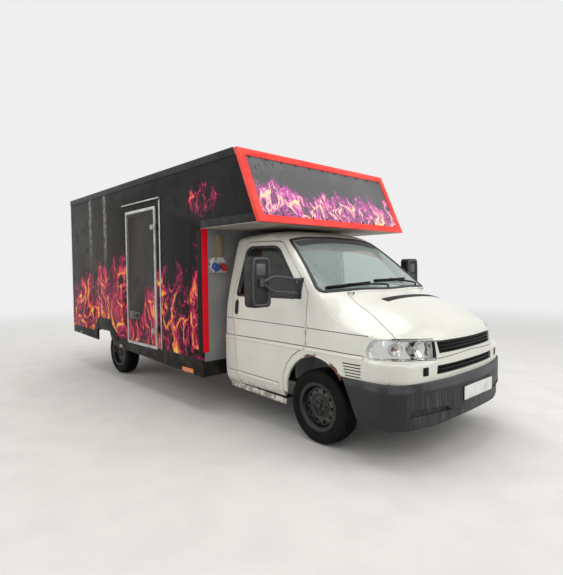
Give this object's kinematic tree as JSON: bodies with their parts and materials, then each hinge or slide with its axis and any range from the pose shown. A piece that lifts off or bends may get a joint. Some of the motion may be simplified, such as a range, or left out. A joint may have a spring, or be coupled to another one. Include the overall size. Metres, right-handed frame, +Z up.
{
  "type": "food truck",
  "caption": "Long-nose van chassis cab with a box body over the cab, side entrance door, serving hatch, red framed sign panel, opening doors and hood, steered and rolling wheels.",
  "frame": {"origin": "on the ground under the middle of the truck's length and width", "axes": "+X forwards, +Y to the truck's left, +Z up"},
  "size_m": [6.268, 2.644, 2.6689],
  "materials": {
    "cab_paint": "aged off-white paint, dusty, rust at the arch lips",
    "glass": "clear, slightly green",
    "lamp_lens": "clear ribbed lens over a reflector",
    "bumper_plastic": "worn unpainted plastic",
    "grille_black": "satin black",
    "mirror_black": "black housing and arms",
    "interior": "grained dark grey",
    "seat_cloth": "woven dark cloth",
    "box_panel": "satin black panels with painted flames",
    "box_grey": "grey panel",
    "floor_wood": "sealed plywood",
    "red_paint": "bright red gloss paint",
    "aluminium_trim": "satin",
    "door_panel": "brownish charcoal",
    "black_trim": "satin black",
    "inlet_plastic": "light grey with blue and red caps",
    "marker_lens": "amber and red lenses",
    "chassis_black": "black, dusty",
    "engine_metal": "rough",
    "wheel_steel": "black pressed steel, dusty",
    "tyre_rubber": "worn rubber"
  },
  "bodies": {
    "truck": {"cab_shell": "cab_paint", "nose_panel": "cab_paint", "windscreen": "glass", "grilles": "grille_black", "headlights": "lamp_lens", "front_bumper": "bumper_plastic", "dashboard": "interior", "seats": "seat_cloth", "steering_wheel": "interior", "box_right_wall": "box_panel", "box_left_wall": "box_panel", "box_front_wall": "box_grey", "box_rear_wall": "box_panel", "box_floor": "floor_wood", "box_roof": "black_trim", "nose_floor": "box_panel", "red_trim": "red_paint", "sign_panel": "box_panel", "power_inlets": "inlet_plastic", "door_frame": "aluminium_trim", "skirts": "black_trim", "lamps": "marker_lens", "chassis_frame": "chassis_black", "cab_frame": "chassis_black", "engine_block": "engine_metal", "rear_axle": "chassis_black", "fuel_tank": "black_trim", "exhaust": "engine_metal"},
    "knuckle_right": {"knuckle_right": "chassis_black"},
    "knuckle_left": {"knuckle_left": "chassis_black"},
    "cab_door_right": {"cab_door_right": "cab_paint", "door_glass_right": "glass", "mirror_right": "mirror_black"},
    "cab_door_left": {"cab_door_left": "cab_paint", "door_glass_left": "glass", "mirror_left": "mirror_black"},
    "hood": {"hood": "cab_paint"},
    "entrance_door": {"entrance_door": "door_panel"},
    "serving_hatch": {"serving_hatch": "box_panel"},
    "wheel_front_right": {"tyre_front_right": "tyre_rubber", "rim_front_right": "wheel_steel"},
    "wheel_front_left": {"tyre_front_left": "tyre_rubber", "rim_front_left": "wheel_steel"},
    "wheel_rear_right": {"tyre_rear_right": "tyre_rubber", "rim_rear_right": "wheel_steel"},
    "wheel_rear_left": {"tyre_rear_left": "tyre_rubber", "rim_rear_left": "wheel_steel"}
  },
  "joints": [
    {"name": "steering_left", "type": "hinge", "parent": "truck", "child": "knuckle_left", "pos_m": [2.149, 0.64, 0.325], "axis": [0, 0, 1], "range_deg": [-35, 35]},
    {"name": "steering_right", "type": "hinge", "parent": "truck", "child": "knuckle_right", "pos_m": [2.149, -0.64, 0.325], "axis": [0, 0, 1], "range_deg": [-35, 35]},
    {"name": "spin_front_left", "type": "hinge", "parent": "knuckle_left", "child": "wheel_front_left", "pos_m": [2.149, 0.7915, 0.325], "axis": [0, 1, 0], "continuous": true},
    {"name": "spin_front_right", "type": "hinge", "parent": "knuckle_right", "child": "wheel_front_right", "pos_m": [2.149, -0.7915, 0.325], "axis": [0, 1, 0], "continuous": true},
    {"name": "spin_rear_left", "type": "hinge", "parent": "truck", "child": "wheel_rear_left", "pos_m": [-1.801, 0.8525, 0.325], "axis": [0, 1, 0], "continuous": true},
    {"name": "spin_rear_right", "type": "hinge", "parent": "truck", "child": "wheel_rear_right", "pos_m": [-1.801, -0.8525, 0.325], "axis": [0, 1, 0], "continuous": true},
    {"name": "cab_door_left", "type": "hinge", "parent": "truck", "child": "cab_door_left", "pos_m": [2.041, 0.918, 0.935], "axis": [0, 0, -1], "range_deg": [0, 65]},
    {"name": "cab_door_right", "type": "hinge", "parent": "truck", "child": "cab_door_right", "pos_m": [2.041, -0.918, 0.935], "axis": [0, 0, 1], "range_deg": [0, 65]},
    {"name": "hood", "type": "hinge", "parent": "truck", "child": "hood", "pos_m": [2.269, 0, 1.316], "axis": [0, -1, 0], "range_deg": [0, 50]},
    {"name": "entrance_door", "type": "hinge", "parent": "truck", "child": "entrance_door", "pos_m": [-0.211, -1.166, 1.411], "axis": [0, 0, 1], "range_deg": [0, 95]},
    {"name": "serving_hatch", "type": "hinge", "parent": "truck", "child": "serving_hatch", "pos_m": [-1.151, 1.146, 2.077], "axis": [1, 0, 0], "range_deg": [0, 85]}
  ],
  "couplings": [
    {"joint": "steering_right", "follows": "steering_left", "ratio": 1}
  ]
}
